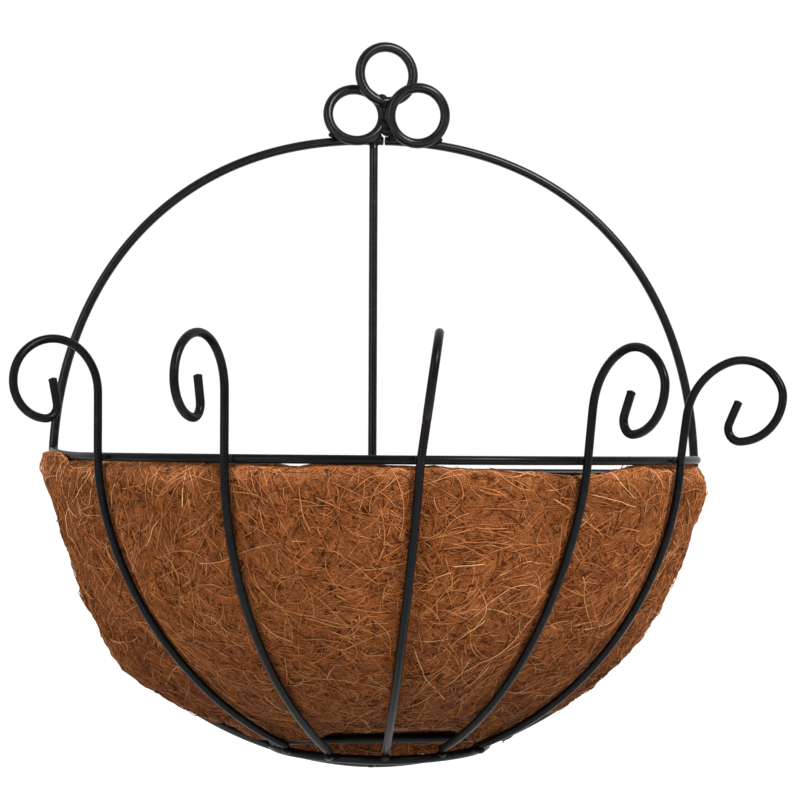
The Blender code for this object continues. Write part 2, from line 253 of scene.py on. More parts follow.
# ==================================================================== materials
class Nodes:
    """Short hand for building a node material."""

    def __init__(self, name):
        self.mat = bpy.data.materials.new(name)
        self.mat.use_nodes = True
        self.nt = self.mat.node_tree
        self.bsdf = self.nt.nodes["Principled BSDF"]
        self.coord = self.nt.nodes.new("ShaderNodeTexCoord").outputs["Object"]

    def node(self, kind, inputs=(), **props):
        n = self.nt.nodes.new(kind)
        for k, v in props.items():
            setattr(n, k, v)
        for k, v in (inputs.items() if isinstance(inputs, dict) else ()):
            if isinstance(v, bpy.types.NodeSocket):
                self.nt.links.new(v, n.inputs[k])
            else:
                n.inputs[k].default_value = v
        return n

    def noise(self, scale, detail=4.0, rough=0.55, distort=0.0, vector=None):
        return self.node("ShaderNodeTexNoise", {"Vector": vector or self.coord, "Scale": scale, "Detail": detail,
                                                "Roughness": rough, "Distortion": distort}).outputs["Fac"]

    def ramp(self, fac, stops):
        n = self.node("ShaderNodeValToRGB", {"Fac": fac})
        e = n.color_ramp.elements
        while len(e) < len(stops):
            e.new(0.5)
        for el, (p, c) in zip(e, stops):
            el.position = p
            el.color = (*c, 1.0) if len(c) == 3 else c
        return n.outputs["Color"]

    def mix(self, fac, a, b, blend="MIX"):
        n = self.nt.nodes.new("ShaderNodeMix")
        n.data_type = "RGBA"
        n.blend_type = blend
        for sock, v in ((n.inputs[0], fac), (n.inputs[6], a), (n.inputs[7], b)):
            if isinstance(v, bpy.types.NodeSocket):
                self.nt.links.new(v, sock)
            elif sock == n.inputs[0]:
                sock.default_value = v
            else:
                sock.default_value = (*v, 1.0)
        return n.outputs[2]

    def math(self, op, a, b=0.0, c=None, clamp=False):
        n = self.nt.nodes.new("ShaderNodeMath")
        n.operation = op
        n.use_clamp = clamp
        for i, v in enumerate((a, b) if c is None else (a, b, c)):
            if isinstance(v, bpy.types.NodeSocket):
                self.nt.links.new(v, n.inputs[i])
            else:
                n.inputs[i].default_value = v
        return n.outputs[0]

    def mapped(self, rotation, scale):
        return self.node("ShaderNodeMapping", {"Vector": self.coord, "Rotation": rotation, "Scale": scale}).outputs["Vector"]

    def remap(self, v, a, b, c, d):
        return self.node("ShaderNodeMapRange", {"Value": v, "From Min": a, "From Max": b, "To Min": c, "To Max": d}).outputs["Result"]

    def bump(self, height, strength, distance, normal=None):
        n = self.node("ShaderNodeBump", {"Height": height, "Strength": strength, "Distance": distance})
        if normal is not None:
            self.nt.links.new(normal, n.inputs["Normal"])
        return n.outputs["Normal"]

    def painted_light_and_shade(self, colour):
        """Painted highlight along the upper edge and painted shade, darker towards the floor."""
        z = self.node("ShaderNodeSeparateXYZ", {"Vector": self.coord}).outputs["Z"]
        ragged = self.math("ADD", z, self.math("MULTIPLY", self.noise(60.0, 3.0), 0.012))
        # painted shade: the colour darkens towards the floor
        painted_floor_shade = self.node("ShaderNodeMapRange", {"Value": ragged, "From Min": -0.312, "From Max": -0.226, "To Min": 0.45, "To Max": 1.0},
                         interpolation_type="SMOOTHSTEP").outputs["Result"]
        # painted highlight: the colour lightens and cools along the upper edge
        painted_top_highlight = self.node("ShaderNodeMapRange", {"Value": ragged, "From Min": -0.1960, "From Max": -0.1885, "To Min": 0.0, "To Max": 1.0},
                        interpolation_type="SMOOTHSTEP").outputs["Result"]
        return self.mix(1.0, self.mix(1.0, colour, painted_floor_shade, "MULTIPLY"), self.mix(painted_top_highlight, (1.0, 1.0, 1.0), (1.60, 1.78, 2.15)), "MULTIPLY")

    def set(self, **sockets):
        for k, v in sockets.items():
            s = self.bsdf.inputs[k.replace("_", " ")]
            if isinstance(v, bpy.types.NodeSocket):
                self.nt.links.new(v, s)
            else:
                s.default_value = (*v, 1.0) if isinstance(v, tuple) and len(v) == 3 else v


def wire_material(name, seed, dust=0.5, gloss=0.17):
    """Satin black dipped coating: faint orange peel, thin dust, rubbed spots."""
    m = Nodes(name)
    shift = m.node("ShaderNodeMapping", {"Vector": m.coord, "Location": (seed * 0.37, seed * 0.11, seed * 0.23)}).outputs["Vector"]
    broad = m.noise(38.0, 3.0, vector=shift)
    fine = m.noise(900.0, 3.0, vector=shift)
    grain = m.noise(2600.0, 2.0, vector=shift)
    spots = m.noise(260.0, 5.0, 0.65, vector=shift)
    base = m.ramp(broad, [(0.3, (0.0019, 0.0021, 0.0024)), (0.6, (0.0033, 0.0036, 0.0040)), (0.8, (0.0058, 0.0057, 0.0056))])
    dusty = m.math("MULTIPLY", m.remap(spots, 0.55, 0.8, 0.0, 1.0), dust)
    colour = m.mix(dusty, base, (0.022, 0.018, 0.014))
    rough = m.math("ADD", m.remap(fine, 0.3, 0.7, 0.27, 0.34), m.math("MULTIPLY", dusty, 0.25))
    n1 = m.bump(m.noise(150.0, 2.0, vector=shift), 0.05, 0.0006)
    n2 = m.bump(fine, 0.02, 0.00010, n1)
    n3 = m.bump(grain, 0.03, 0.00004, n2)
    m.set(Base_Color=colour, Roughness=rough, Metallic=0.0, Specular_IOR_Level=gloss, Normal=n3)
    return m.mat


def coir_material(name, low, mid, high, depth=0.0):
    """Matted coconut fibre: fine strands crossing every way, pits and pith, with painted shade in the hollows."""
    m = Nodes(name)
    strands = None
    for rot, scale, distort in (((0.3, 0.9, 0.2), (260.0, 2600.0, 2600.0), 0.25),
                                ((1.1, -0.4, 1.3), (230.0, 2300.0, 2300.0), 0.3),
                                ((-0.7, 0.5, 2.2), (300.0, 2900.0, 2900.0), 0.2),
                                ((0.9, 1.9, -0.6), (200.0, 1900.0, 1900.0), 0.35)):
        n = m.noise(1.0, 2.0, 0.5, distort, vector=m.mapped(rot, scale))
        line = m.remap(n, 0.50, 0.66, 0.0, 1.0)
        strands = line if strands is None else m.math("MAXIMUM", strands, line)
    patch = m.noise(26.0, 4.0, 0.6)
    clump = m.noise(150.0, 5.0, 0.62, 0.6)
    speck = m.noise(1400.0, 3.0, 0.6)
    # the tone follows the clump noise that also raises the bump, so its dark end lies in the hollows: partly the
    # fibre's own varying tone, partly painted shade
    body = m.ramp(clump, [(0.33, low), (0.52, mid), (0.73, high)])
    body = m.mix(m.remap(patch, 0.35, 0.7, 0.0, 0.60), body, tuple(c * 0.64 for c in mid), "MIX")
    body = m.mix(m.math("MULTIPLY", strands, 0.55), body, high)
    body = m.mix(m.remap(speck, 0.35, 0.65, 0.35, 0.0), body, tuple(c * 0.35 for c in low))
    pits = m.remap(m.noise(330.0, 2.5, 0.55, 0.8), 0.57, 0.66, 0.0, 0.8)      # small hollows between the clumps, darkened in colour as painted shade
    body = m.mix(pits, body, tuple(c * 0.62 for c in low))
    h1 = m.bump(m.math("SUBTRACT", clump, m.math("MULTIPLY", pits, 0.35)), 0.9, 0.0016)
    h2 = m.bump(strands, 0.9, 0.0004, h1)
    h3 = m.bump(speck, 0.5, 0.0002, h2)
    # the base colour gets painted shade towards the floor and a painted highlight along the top edge
    m.set(Base_Color=m.painted_light_and_shade(body), Roughness=m.remap(speck, 0.3, 0.7, 0.82, 0.98), Metallic=0.0, Specular_IOR_Level=0.02, Normal=h3)
    return m.mat


def fibre_material(name, dark, light, rough=0.66, spec=0.05):
    """One shade of coir fibre, varying from strand to strand and along each."""
    m = Nodes(name)
    along = m.noise(210.0, 3.0, 0.6)
    tiny = m.noise(1700.0, 2.0, 0.5)
    body = m.ramp(along, [(0.32, dark), (0.68, light)])
    body = m.mix(m.remap(tiny, 0.4, 0.62, 0.35, 0.0), body, tuple(c * 0.55 for c in dark))
    # the fibre colour gets painted shade towards the floor and a painted highlight along the top edge
    m.set(Base_Color=m.painted_light_and_shade(body), Roughness=m.remap(tiny, 0.3, 0.7, rough - 0.08, rough + 0.12), Metallic=0.0,
          Specular_IOR_Level=spec, Normal=m.bump(tiny, 0.35, 0.00008))
    return m.mat


# ======================================================================= meshes
def link(name, verts, faces, mat, smooth_shade=True):
    mesh = bpy.data.meshes.new(name)
    mesh.from_pydata([tuple(v) for v in verts], [], faces)
    mesh.update()
    mesh.validate()
    mesh.materials.append(mat)
    if smooth_shade:
        mesh.shade_smooth()
    obj = bpy.data.objects.new(name, mesh)
    SCENE.collection.objects.link(obj)
    return obj


def tube_mesh(points, radius, closed=False, sides=22, wobble=0.03, seed=0.0, tip=1.0, dome=0.62):
    """Vertices and faces of a wire with a slightly uneven coat and domed ends.
    points and radius are in metres; tip swells the ends a little."""
    pts = [Vector(p) for p in points]
    n = len(pts)
    tangents = []
    for k in range(n):
        a = pts[(k - 1) % n] if (closed or k > 0) else pts[k]
        b = pts[(k + 1) % n] if (closed or k < n - 1) else pts[k]
        tangents.append((b - a).normalized())
    t0 = tangents[0]
    ref = Vector((0.0, 0.0, 1.0)) if abs(t0.z) < 0.9 else Vector((0.0, 1.0, 0.0))
    normal = (ref - t0 * ref.dot(t0)).normalized()
    frames = []
    for k in range(n):
        t = tangents[k]
        normal = (normal - t * normal.dot(t)).normalized()
        frames.append((normal.copy(), t.cross(normal)))
    if closed:                                   # take out the twist of one trip round
        a0, b0 = frames[0]
        t = tangents[0]
        last = (frames[-1][0] - t * frames[-1][0].dot(t)).normalized()
        twist = math.atan2(last.dot(b0), last.dot(a0))
        frames = [(a * math.cos(-twist * k / n) + b * math.sin(-twist * k / n),
                   b * math.cos(-twist * k / n) - a * math.sin(-twist * k / n)) for k, (a, b) in enumerate(frames)]
    verts, faces = [], []

    def ring(centre, a, b, r):
        start = len(verts)
        for j in range(sides):
            w = 2.0 * math.pi * j / sides
            d = a * math.cos(w) + b * math.sin(w)
            p = centre + d * r
            lump = noise.noise(p * 160.0 + Vector((seed, 0.0, 0.0))) * wobble \
                + noise.noise(p * 520.0 + Vector((0.0, seed, 0.0))) * wobble * 0.5
            verts.append(centre + d * r * (1.0 + lump))
        return start

    starts = []
    if not closed:
        for k in range(4):
            w = math.pi / 2.0 * (k + 0.6) / 4.4
            starts.append(ring(pts[0] - tangents[0] * radius * dome * math.cos(w), *frames[0], radius * tip * math.sin(w)))
    for k in range(n):
        starts.append(ring(pts[k], *frames[k], radius))
    if not closed:
        for k in reversed(range(4)):
            w = math.pi / 2.0 * (k + 0.6) / 4.4
            starts.append(ring(pts[-1] + tangents[-1] * radius * dome * math.cos(w), *frames[-1], radius * tip * math.sin(w)))
    loops = list(zip(starts, starts[1:] + (starts[:1] if closed else [])))
    for s0, s1 in loops:
        for j in range(sides):
            m = (j + 1) % sides
            faces.append((s0 + j, s0 + m, s1 + m, s1 + j))
    if not closed:
        c0 = len(verts)
        verts.append(pts[0] - tangents[0] * radius * (dome + 0.02))
        verts.append(pts[-1] + tangents[-1] * radius * (dome + 0.02))
        for j in range(sides):
            m = (j + 1) % sides
            faces.append((c0, starts[0] + m, starts[0] + j))
            faces.append((c0 + 1, starts[-1] + j, starts[-1] + m))
    return verts, faces


def outward(obj):
    bm = bmesh.new()
    bm.from_mesh(obj.data)
    bmesh.ops.recalc_face_normals(bm, faces=bm.faces)
    bm.to_mesh(obj.data)
    bm.free()
    return obj


def wire(name, node, points, radius, mat, closed=False, seed=0.0, sides=22, tip=1.0, wobble=0.013, dome=0.62):
    verts, faces = tube_mesh([P(p) for p in points], radius * MM, closed, sides, wobble, seed, tip, dome)
    obj = outward(link(name, verts, faces, mat))
    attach(obj, "cage")
    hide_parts(node)
    return obj


def bead(name, blobs, mat, seed=0.0):
    """Weld metal: overlapping squashed blobs with a lumpy surface, gathered in one mesh."""
    bm = bmesh.new()
    for centre, axes, direction in blobs:
        rot = Vector((0.0, 0.0, 1.0)).rotation_difference(Vector(direction)).to_matrix().to_4x4()
        m = Matrix.Translation(P(centre)) @ rot @ Matrix.Diagonal((axes[0] * MM, axes[1] * MM, axes[2] * MM, 1.0))
        bmesh.ops.create_icosphere(bm, subdivisions=3, radius=1.0, matrix=m)
    for v in bm.verts:
        lump = noise.noise(v.co * 700.0 + Vector((seed, 1.7, 0.0))) * 0.00022
        v.co += v.normal * lump
    mesh = bpy.data.meshes.new(name)
    bm.to_mesh(mesh)
    bm.free()
    mesh.materials.append(mat)
    mesh.shade_smooth()
    obj = bpy.data.objects.new(name, mesh)
    SCENE.collection.objects.link(obj)
    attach(obj, "cage")
    return obj


# ==================================================================== the cage
black = [wire_material(f"black_wire_coat_{k}", k * 1.7, 0.35 + 0.1 * (k % 3)) for k in range(3)]
duller = [wire_material(f"black_wire_front_coat_{k}", 5.3 + k * 1.7, 0.30 + 0.1 * (k % 3), 0.06) for k in range(3)]
weld_mat = wire_material("black_weld_coat", 9.1, 0.7, 0.08)

wire("back_hoop_wire", "back_hoop", hoop_path(760), WIRE_R + 0.05, black[0], seed=1.0, dome=0.12)
lap = 2.0 * WIRE_R + GAP
spine_top = hoop_height(SPINE_X) - WIRE_R + 0.5
spine_foot = hoop_height(SPINE_X, top=False) - 0.5 * WIRE_R
spine_a, spine_b = Vector((SPINE_X, 0.0, spine_top)), Vector((SPINE_X, -lap * 1.0, spine_foot))
wire("back_spine_wire", "back_spine", evenly([spine_a, spine_b], 110), WIRE_R, black[1], seed=2.0, dome=0.2)
spine_y_at_bar = -lap * 1.03 * (spine_top - BACK_BAR_Z) / (spine_top - spine_foot)
bar_y = spine_y_at_bar + lap
bar_half = hoop_half_width(BACK_BAR_Z) - WIRE_R + 0.4
wire("back_cross_bar_wire", "back_cross_bar",
     evenly([(hoop_dent(BACK_BAR_Z, HOOP_FLAT_LEFT) - bar_half, bar_y, BACK_BAR_Z),
             (bar_half - hoop_dent(BACK_BAR_Z, HOOP_FLAT_RIGHT), bar_y, BACK_BAR_Z)], 110), WIRE_R, black[2], seed=3.0)
wire("rim_wire", "rim_half_ring", rim_path(220), RIM_WIRE_R, duller[0], seed=4.0)
for k, rib in enumerate(RIBS):
    wire(rib[0] + "_wire", rib[0], rounded(rib_path(rib), 2), RIB_WIRE_R, duller[(k + 1) % 3], seed=5.0 + k, tip=1.12)
wire("base_ring_wire", "base_half_ring", base_ring_path(100), WIRE_R, duller[1], seed=11.0)
chord_z = BASE_Z + lap - 0.1
wire("base_cross_bar_wire", "base_cross_bar",
     evenly([(-CHORD_HALF, CHORD_Y, chord_z), (CHORD_HALF, CHORD_Y, chord_z)], 60), WIRE_R, duller[2], seed=12.0)


def ring_points(centre, foot, lean, turn, count=120):
    rot = Euler((math.radians(lean), 0.0, math.radians(turn)), "XYZ").to_matrix()
    base = Vector(centre) - Vector((0.0, 0.0, RING_R if foot else 0.0))
    out = []
    for k in range(count):
        a = math.pi / 2.0 + 2.0 * math.pi * k / count
        p = Vector((RING_R * math.cos(a), 0.0, RING_R * math.sin(a) + (RING_R if foot else 0.0)))
        out.append(base + rot @ p)
    return out


LEFT_RING, RIGHT_RING = Vector((-13.2, -lap, 161.1)), Vector((15.4, -lap, 160.6))
wire("finial_ring_left_wire", "finial_ring_left", ring_points(LEFT_RING, True, -RING_LEAN, 0.0), FINIAL_WIRE_R, black[0], True, 13.0, sides=26)
wire("finial_ring_right_wire", "finial_ring_right", ring_points(RIGHT_RING, True, RING_LEAN, 0.0), FINIAL_WIRE_R, black[1], True, 14.0, sides=26)
wire("finial_ring_top_wire", "finial_ring_top", ring_points(TOP_RING, False, 0.0, 8.0), FINIAL_WIRE_R, black[2], True, 15.0, sides=26)

# weld metal ----------------------------------------------------------------
b = bead("finial_weld_run", [
    ((1.5, -4.2, 153.2), (3.1, 2.0, 2.4), (0, 0, 1)), ((1.1, -4.1, 156.2), (2.9, 2.2, 2.8), (0, 0, 1)),
    ((1.5, -4.5, 159.6), (2.7, 2.3, 3.0), (0, 0, 1)), ((1.0, -4.4, 163.0), (2.8, 2.1, 3.0), (0, 0, 1)),
    ((1.4, -4.6, 166.0), (3.3, 2.1, 2.4), (0, 0, 1)), ((-1.2, -5.3, 168.4), (2.4, 2.0, 1.9), (0, 0, 1)),
    ((-3.6, -3.4, 169.2), (1.6, 1.7, 1.3), (0, 0, 1))], weld_mat, 3.0)
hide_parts("finial_weld")
beads = [
    ("finial_foot_weld_left", [((-23.7, -2.2, 151.0), (2.2, 1.7, 1.4), (0, 0, 1)), ((-21.6, -2.2, 150.5), (1.9, 1.9, 1.2), (0, 0, 1))]),
    ("finial_foot_weld_right", [((25.5, -2.2, 150.2), (2.4, 1.8, 1.6), (0, 0, 1)), ((23.0, -2.2, 149.7), (2.0, 1.9, 1.3), (0, 0, 1))]),
    ("hoop_joint_weld", [((4.6, -2.2, 150.6), (2.7, 2.2, 2.3), (0, 0, 1)), ((-3.2, -2.2, 150.8), (2.6, 2.2, 2.2), (0, 0, 1))]),
    ("finial_lap_weld_left", [((-7.6, -4.6, 170.6), (1.3, 2.0, 1.3), (0, 0, 1))]),
    ("finial_lap_weld_right", [((9.6, -6.3, 171.9), (1.3, 2.0, 1.3), (0, 0, 1)), ((7.3, -6.2, 170.0), (1.2, 1.8, 1.6), (0, 0, 1))]),
    ("spine_foot_weld", [((SPINE_X, -2.2, hoop_height(SPINE_X, False) + 0.6), (2.4, 1.5, 1.6), (0, 0, 1))]),
    ("spine_head_weld", [((SPINE_X, -0.2, hoop_height(SPINE_X) - 2.2), (2.3, 2.1, 0.9), (0, 0, 1))]),
    ("bar_weld_left", [((0.8 - bar_half, bar_y - 0.6, BACK_BAR_Z), (1.2, 1.9, 2.2), (0, 0, 1))]),
    ("bar_weld_right", [((bar_half - 0.6, bar_y - 0.6, BACK_BAR_Z), (1.2, 1.9, 2.2), (0, 0, 1))]),
    ("bar_spine_weld", [((SPINE_X, (spine_y_at_bar + bar_y) / 2.0, BACK_BAR_Z), (2.3, 1.3, 2.3), (0, 0, 1))]),
    ("rim_weld_right", [((hoop_half_width(RIM_Z) - 1.5, -2.0, RIM_Z), (1.8, 1.3, 2.2), (0, 0, 1))]),
    ("rim_weld_left", [((-hoop_half_width(RIM_Z) + 0.3, -2.1, RIM_Z + RIM_END_LIFT), (2.2, 1.3, 2.2), (0, 0, 1))]),
    ("base_ring_weld_left", [((-49.8, -2.2, BASE_Z), (2.3, 1.4, 2.2), (0, 0, 1))]),
    ("base_ring_weld_right", [((48.8, -2.2, BASE_Z), (1.8, 1.3, 2.0), (0, 0, 1))]),
    ("base_bar_weld_left", [((-46.3, CHORD_Y, (chord_z + BASE_Z) / 2.0), (2.6, 2.1, 1.4), (0, 0, 1))]),
    ("base_bar_weld_right", [((46.3, CHORD_Y, (chord_z + BASE_Z) / 2.0), (2.6, 2.1, 1.4), (0, 0, 1))]),
]
for k, rib in enumerate(RIBS):
    a = math.radians(rib[1])
    out = Vector((math.cos(a), -math.sin(a), 0.0))
    side = Vector((math.sin(a), math.cos(a), 0.0))
    z = RIM_Z - RIM_TILT * CAGE_R * math.sin(a)
    at = out * (CAGE_R - 2.1) + Vector((0.0, 0.0, z))
    beads.append((rib[0] + "_rim_weld", [
        (at - out * 0.5 - side * 1.5, (1.0, 1.1, 1.5), (0, 0, 1)),
        (at - out * 0.5 + side * 1.4, (0.9, 1.0, 1.4), (0, 0, 1)),
        (at, (1.2, 1.2, 1.8), tuple(side))]))
    fa = rib_angle(rib[1], rib[2], RIB_FOOT_Z)
    fr = belly_radius(rib[3], RIB_FOOT_Z)
    foot = Vector((fr * math.cos(fa), -fr * math.sin(fa), RIB_FOOT_Z))
    beads.append((rib[0] + "_foot_weld", [
        (foot * 0.985 + Vector((0, 0, -2.6 - RIB_FOOT_Z * -0.015)), (2.2, 2.2, 1.5), (0, 0, 1))]))
for k, (name, blobs) in enumerate(beads):
    bead(name, blobs, weld_mat, k * 0.9)


# ==================================================================== the liner
LEFT_EDGE = ((6.0, 155.0), (3.0, 156.2), (-1.0, 156.6), (-5.0, 156.4), (-9.0, 155.0), (-12.0, 153.4), (-19.0, 149.6),
             (-26.0, 147.9), (-32.0, 146.6), (-39.0, 143.5), (-46.0, 140.7), (-53.0, 138.6), (-58.0, 137.0), (-62.0, 135.6),
             (-67.0, 134.2), (-73.0, 130.4), (-80.0, 128.2), (-87.0, 124.4), (-94.0, 119.6), (-101.0, 111.4),
             (-107.0, 101.2), (-114.0, 89.6), (-118.6, 77.5), (-121.0, 68.0), (-127.0, 56.0))
RIGHT_EDGE = ((6.0, 141.5), (-1.0, 144.2), (-5.0, 147.2), (-10.5, 150.6), (-17.0, 148.6), (-24.5, 145.4), (-31.5, 143.1),
              (-38.6, 140.2), (-45.7, 137.5), (-52.7, 134.2), (-60.0, 132.0), (-67.0, 130.3), (-74.0, 125.4),
              (-81.0, 119.8), (-88.0, 114.8), (-95.0, 108.1), (-102.0, 101.0), (-109.0, 91.0), (-116.0, 79.5),
              (-121.0, 72.5), (-127.0, 61.0))
TOP_EDGE = ((0.0, -4.6), (12.0, -3.8), (28.0, -2.9), (45.0, -2.8), (52.0, -3.4), (56.0, -5.4), (60.0, -7.7), (64.0, -8.2), (70.0, -6.6), (80.0, -5.6),
            (90.0, -4.4), (97.0, -3.6), (104.0, -3.1), (119.0, -3.2), (128.0, -2.0), (146.0, -1.4), (152.0, -1.4),
            (158.0, -1.2), (161.0, -0.6), (163.0, 0.2), (164.8, 1.3), (166.6, 2.0), (172.0, 2.2), (176.5, 2.5), (180.0, 2.6))


def table(rows, x):
    rows = sorted(rows)
    if x <= rows[0][0]:
        return rows[0][1]
    for (x0, y0), (x1, y1) in zip(rows, rows[1:]):
        if x <= x1:
            return y0 + (y1 - y0) * smooth((x - x0) / (x1 - x0)) * 0.5 + (y1 - y0) * (x - x0) / (x1 - x0) * 0.5
    return rows[-1][1]


def cage_stops(z):
    stops = [(0.0, table(RIGHT_EDGE, z) * 0.99, 0.0)]
    stops += [(r[1], belly_radius(r[3], z), 1.0) for r in sorted(RIBS, key=lambda r: r[1])]
    stops.append((180.0, table(LEFT_EDGE, z) * 0.99, 0.0))
    return stops


def liner_radius(phi, z, cache={}):
    """Outer face of the liner: pressed in by each rib, swelling between them."""
    key = round(z, 2)
    if key not in cache:
        lo, hi = cage_stops(z - 0.5), cage_stops(z + 0.5)
        slopes = [(b2[1] - b1[1]) for b1, b2 in zip(lo, hi)]
        mid = cage_stops(z)
        cache[key] = [(s[0], s[1] - 3.0 * s[2] * math.sqrt(1.0 + min(4.0, dz * dz))) for s, dz in zip(mid, slopes)]
    stops = cache[key]
    turn = math.degrees(phi)
    fade = smooth((-1.0 - z) / 14.0) * smooth((z + 126.0) / 40.0)
    for low, high in zip(stops, stops[1:]):
        if turn <= high[0] + 1e-6:
            w = (turn - low[0]) / (high[0] - low[0])
            first, last = low[0] == 0.0, high[0] == 180.0
            if first:
                base = low[1] + (high[1] - low[1]) * smooth(w)
                swell = 2.0 * math.sin(math.pi * w) ** 0.8
            elif last:
                base = low[1] + (high[1] - low[1]) * smooth(w)
                swell = 2.4 * math.sin(math.pi * w) ** 0.8
            else:
                base = low[1] + (high[1] - low[1]) * smooth(w)
                swell = 4.2 * math.sin(math.pi * w) ** 0.7
            r = base + swell * fade
            break
    else:
        r = stops[-1][1]
    if z > -3.0:                                   # tucked inside the rim
        inner = rim_radius(phi) - RIM_WIRE_R - 0.3
        edge = smooth((turn - 159.5) / 5.0)      # but lapping over it at the left end
        r = min(r, inner + (r - inner) * edge) if r > inner else r
    return r


K_ARC, K_BACK = 370, 196
ROWS = 84


def back_top(x):
    """Upper edge of the back panel."""
    return -8.6 + 6.0 * smooth((x - 112.0) / 32.0) + 12.0 * smooth((-118.0 - x) / 30.0) + 1.1 * math.sin(x * 0.06 + 1.0) + 0.5 * math.sin(x * 0.21)


def floor_rise(x, y):
    """The floor climbs from the cross bar to the front, where the ribs hold it."""
    return 1.5 + max(0.0, -16.0 - y) * 0.155 * (1.0 - 0.7 * smooth((x - 26.0) / 14.0))


def sag(x, y):
    """Behind the cross bar it hangs down into the base ring, and its corners droop."""
    across = smooth((x + 54.0) / 20.0) * smooth((50.0 - x) / 14.0)
    bag = (14.0 - 2.0 * smooth((x - 6.0) / 14.0) - 1.5 * smooth((-26.0 - x) / 10.0)) * across * smooth((y + 15.0) / 4.0)
    right = smooth((x - 30.0) / 10.0) * smooth((66.0 - x) / 13.0)
    left = smooth((-24.0 - x) / 12.0) * smooth((x + 79.0) / 28.0)
    droop = (4.6 * right + 4.4 * left) * smooth((y + 46.0) / 10.0)
    return -math.sqrt(bag * bag + droop * droop * (1.0 - min(1.0, bag / 12.0)))


def outline(z_of, inset, count_arc=K_ARC, count_back=K_BACK):
    """Points round the liner, each at its own height given by z_of(share, on_back)."""
    pts = []
    for k in range(count_arc + 1):
        phi = math.pi * k / count_arc
        z = z_of(math.degrees(phi), None)
        r = liner_radius(phi, z) - inset
        back = BACK_Y - inset
        x, y = r * math.cos(phi), -r * math.sin(phi)
        if y > back:
            x, y = math.copysign(math.sqrt(max(0.0, r * r - back * back)), x), back
        pts.append(Vector((x, y, z)))
    a, b = pts[-1], pts[0]
    for k in range(1, count_back):
        w = k / count_back
        x = a.x + (b.x - a.x) * w
        z = z_of(None, x)
        blend = min(1.0, min(w, 1.0 - w) * 14.0)
        z_edge = a.z if w < 0.5 else b.z
        pts.append(Vector((x, BACK_Y - inset, z_edge + (z - z_edge) * smooth(blend))))
    return pts


def eased(loop, passes, share=0.5):
    n = len(loop)
    for _ in range(passes):
        loop = [loop[k].lerp((loop[k - 1] + loop[(k + 1) % n]) / 2.0, share) for k in range(n)]
    return loop


def level(w, low_z, cap=99.0):
    """Height rule of one row: w is 0 at the top edge and 1 at the floor."""
    def z_of(turn, x):
        top = min(cap, table(TOP_EDGE, turn) if turn is not None else back_top(x))
        return top + (low_z - top) * w
    return z_of


def lumps(p, n, strong=1.0):
    """Uneven felt: soft waves, clumps and fine shreds, along the normal n."""
    q = p * 1000.0
    a = noise.noise(q * 0.022) * 1.5
    c = noise.noise(q * 0.075 + Vector((7.0, 0, 0))) * 1.15
    d = noise.noise(q * 0.21 + Vector((0, 9.0, 0))) * 0.62
    e = noise.noise(q * 0.55 + Vector((0, 0, 5.0))) * 0.34
    return (a + c + d + e) * strong


def dense(line, gap=0.7):
    """The same line with a point at least every gap mm."""
    pts = [Vector(q) for q in line]
    out = []
    for a, b in zip(pts, pts[1:]):
        k = max(1, int(math.ceil((b - a).length / gap)))
        out.extend(a.lerp(b, j / k) for j in range(k))
    return out + [pts[-1]]


def cage_lines():
    """Centre-lines and radii of the wires that the felt lies against."""
    lines = [(dense(rim_path(220)), RIM_WIRE_R), (dense(base_ring_path(100)), WIRE_R),
             (dense([(-CHORD_HALF, CHORD_Y, chord_z), (CHORD_HALF, CHORD_Y, chord_z)]), WIRE_R)]
    return lines + [(dense(rounded(rib_path(r), 2)), RIB_WIRE_R) for r in RIBS]


